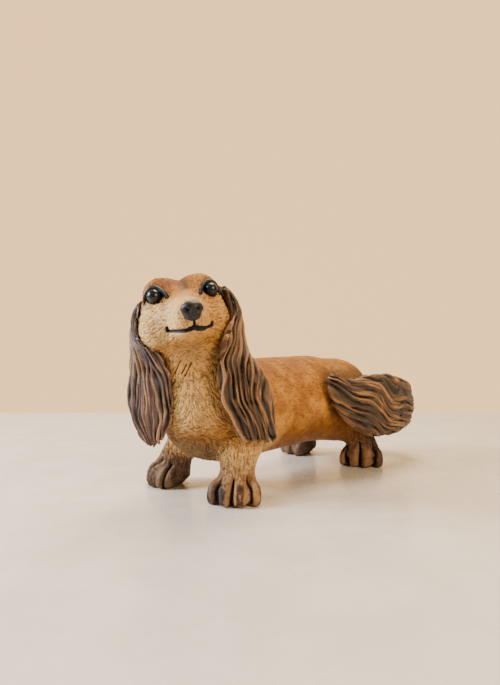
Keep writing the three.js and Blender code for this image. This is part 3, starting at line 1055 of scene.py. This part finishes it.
def coil(line, widths, side, sides=14):
    """A rolled coil of clay along a line in the head's frame, pointed at both ends."""
    rows = smooth_line([(*pressed((side * at[0], *at[1:])), width) for at, width in zip(line, widths)])
    centres = rows[:, :3]
    ahead = unit(np.gradient(centres, axis=0))
    angles = np.arange(sides) * math.tau / sides
    bm = bmesh.new()
    rings = []
    for centre, direction, width in zip(centres, ahead, rows[:, 3]):
        u = unit(np.cross(direction, (0.3, 1, 0.2)))
        v = np.cross(direction, u)
        ring = [centre + width * (math.cos(angle) * u + math.sin(angle) * v) for angle in angles]
        rings.append([bm.verts.new(Vector(c) * MM) for c in ring])
    for a, b in zip(rings[:-1], rings[1:]):
        for i in range(sides):
            j = (i + 1) % sides
            bm.faces.new((a[i], a[j], b[j], b[i]))
    for ring, centre, beyond in ((rings[0], centres[0], -ahead[0]), (rings[-1], centres[-1], ahead[-1])):
        tip = bm.verts.new(Vector(centre + beyond * COIL_POINT) * MM)
        for i in range(sides):
            bm.faces.new((ring[i], ring[(i + 1) % sides], tip))
    bmesh.ops.recalc_face_normals(bm, faces=bm.faces)
    bm.transform(head_place)
    made = bpy.data.meshes.new("coil")
    bm.to_mesh(made)
    bm.free()
    return made


def nose_mesh():
    """Nose leather: broad rounded top, narrower foot, two curved nostrils and a groove between them."""
    lumps = [ellipsoid(centre, radii, head_place) for centre, radii in NOSE_LUMPS]
    skin = remeshed(joined(lumps), 0.5)
    set_points(skin, relaxed(skin, points(skin), 6))
    skin = subdivided(skin, 1)
    p = points(skin)
    q = in_head(p)
    fold = dent(q[:, 0], 0.7) * ramp(q[:, 2], -4, -7) * ramp(q[:, 1], -44, -47)
    nostril = to_line(mirrored(q), NOSTRIL)
    wing = dent(nostril - 1.9, 0.8)
    rise = 0.5 * wing - 0.6 * fold - 3.0 * dent(nostril, 1.8)
    set_points(skin, p + normals(skin) * rise[:, None])
    return skin


bead = ink_finish("bead_glaze", (0.006, 0.007, 0.009), 0.20, 0.28)
lid_ink = ink_finish("lid_glaze", (0.006, 0.008, 0.012), 0.36, 0.46)
nose_ink = ink_finish("nose_glaze", (0.006, 0.006, 0.006), 0.42, 0.52)
for side, node in ((1, "left"), (-1, "right")):
    ball = ellipsoid(eye_place(side), (EYE_RADIUS,) * 3, head_place)
    piece(ball, "eyeball_" + node, "gloss_black", bead, "eye_" + node)
    upper = coil(LID, LID_WIDTHS, side)
    piece(upper, "lid_upper_" + node, "black_glaze", lid_ink, "eyelid_" + node)
piece(nose_mesh(), "nose_leather", "black_glaze", nose_ink, "nose")

# ---------------------------------------------------------------- floor, wall and light

TABLE_BEHIND = 0.79  # m: from the camera to the table's far edge
TABLE_REACH = 3  # m: from the object to the table's near edge
TABLE_HALF = 2.5  # m: half its width
WALL_BEHIND = 1.2  # m: from the table's far edge to the wall
WALL_HALF = 3  # m: half its width
WALL_FOOT = -1.5  # m
WALL_TOP = 2.5  # m


def table_finish():
    """Pale stone with faint clouds and a soft shine."""
    f = Finish("table")
    colour = f.mix(f.between(f.noise(40, 5, 0.6), 0.35, 0.65), (0.65, 0.59, 0.52), (0.71, 0.65, 0.58))
    return f.done(colour, f.between(f.noise(15, 4), 0.3, 0.7, 0.20, 0.30))


def wall_finish():
    """A plain wall that glows evenly, so that it looks the same all over."""
    f = Finish("wall")
    f.shader.inputs["Emission Color"].default_value = (1.0, 0.60, 0.25, 1)
    f.shader.inputs["Emission Strength"].default_value = 1.9
    return f.done((0.1, 0.1, 0.1), 0.9)


def add_floor():
    """A table whose far edge runs straight across the camera's view, and a wall well behind it."""
    turn = Matrix.Rotation(math.radians(CAMERA_TURN), 4, "Z")
    low, high = cad_box
    centre = (low + high) / 2
    ahead = turn.to_3x3() @ Vector((0, 1, 0))
    edge = Vector((*CAMERA_AT[:2], 0)).dot(ahead) + TABLE_BEHIND
    back = edge + WALL_BEHIND
    place = Matrix.Translation((centre.x, centre.y, 0)) @ turn
    table = [(-TABLE_HALF, -TABLE_REACH, 0), (TABLE_HALF, -TABLE_REACH, 0),
             (TABLE_HALF, edge, 0), (-TABLE_HALF, edge, 0)]
    wall = [(-WALL_HALF, back, WALL_FOOT), (WALL_HALF, back, WALL_FOOT),
            (WALL_HALF, back, WALL_TOP), (-WALL_HALF, back, WALL_TOP)]
    for name, outline, finish in (("table", table, table_finish()), ("wall", wall, wall_finish())):
        mesh = bpy.data.meshes.new(name)
        mesh.from_pydata([place @ Vector(corner) for corner in outline], [], [(0, 1, 2, 3)])
        mesh.materials.append(finish)
        made = bpy.data.objects.new(name, mesh)
        bpy.context.scene.collection.objects.link(made)
        made.visible_diffuse = name == "table"  # the wall's glow stays off the figurine


# Where each light stands (m), how wide it is (m), its power (W) and its colour.
LIGHTS = {
    "window": ((-0.55, -0.65, 0.5), 0.4, 20, (0.94, 0.97, 1.0)),
    "room": ((0.75, -0.1, 0.45), 0.4, 7, (1.0, 0.74, 0.44)),
    "top": ((-0.1, 0.2, 0.9), 0.45, 11.5, (1.0, 0.86, 0.68)),
}
LIT_AT = {"window": 0.08, "room": 0.07, "top": 0.07}  # m: how high above the origin each light aims
SKY = (1.0, 0.84, 0.66, 1)
SKY_STRENGTH = 0.24


def add_lights():
    for name, (at, size, power, colour) in LIGHTS.items():
        data = bpy.data.lights.new(name, "AREA")
        data.size = size
        data.energy = power
        data.color = colour
        light = bpy.data.objects.new(name, data)
        bpy.context.scene.collection.objects.link(light)
        light.location = at
        ray = Vector((0, 0, LIT_AT[name])) - Vector(at)
        light.rotation_euler = ray.to_track_quat("-Z", "Y").to_euler()
    world = bpy.data.worlds.new("world")
    bpy.context.scene.world = world
    world.use_nodes = True
    background = world.node_tree.nodes["Background"]
    background.inputs["Color"].default_value = SKY
    background.inputs["Strength"].default_value = SKY_STRENGTH


add_floor()
add_lights()
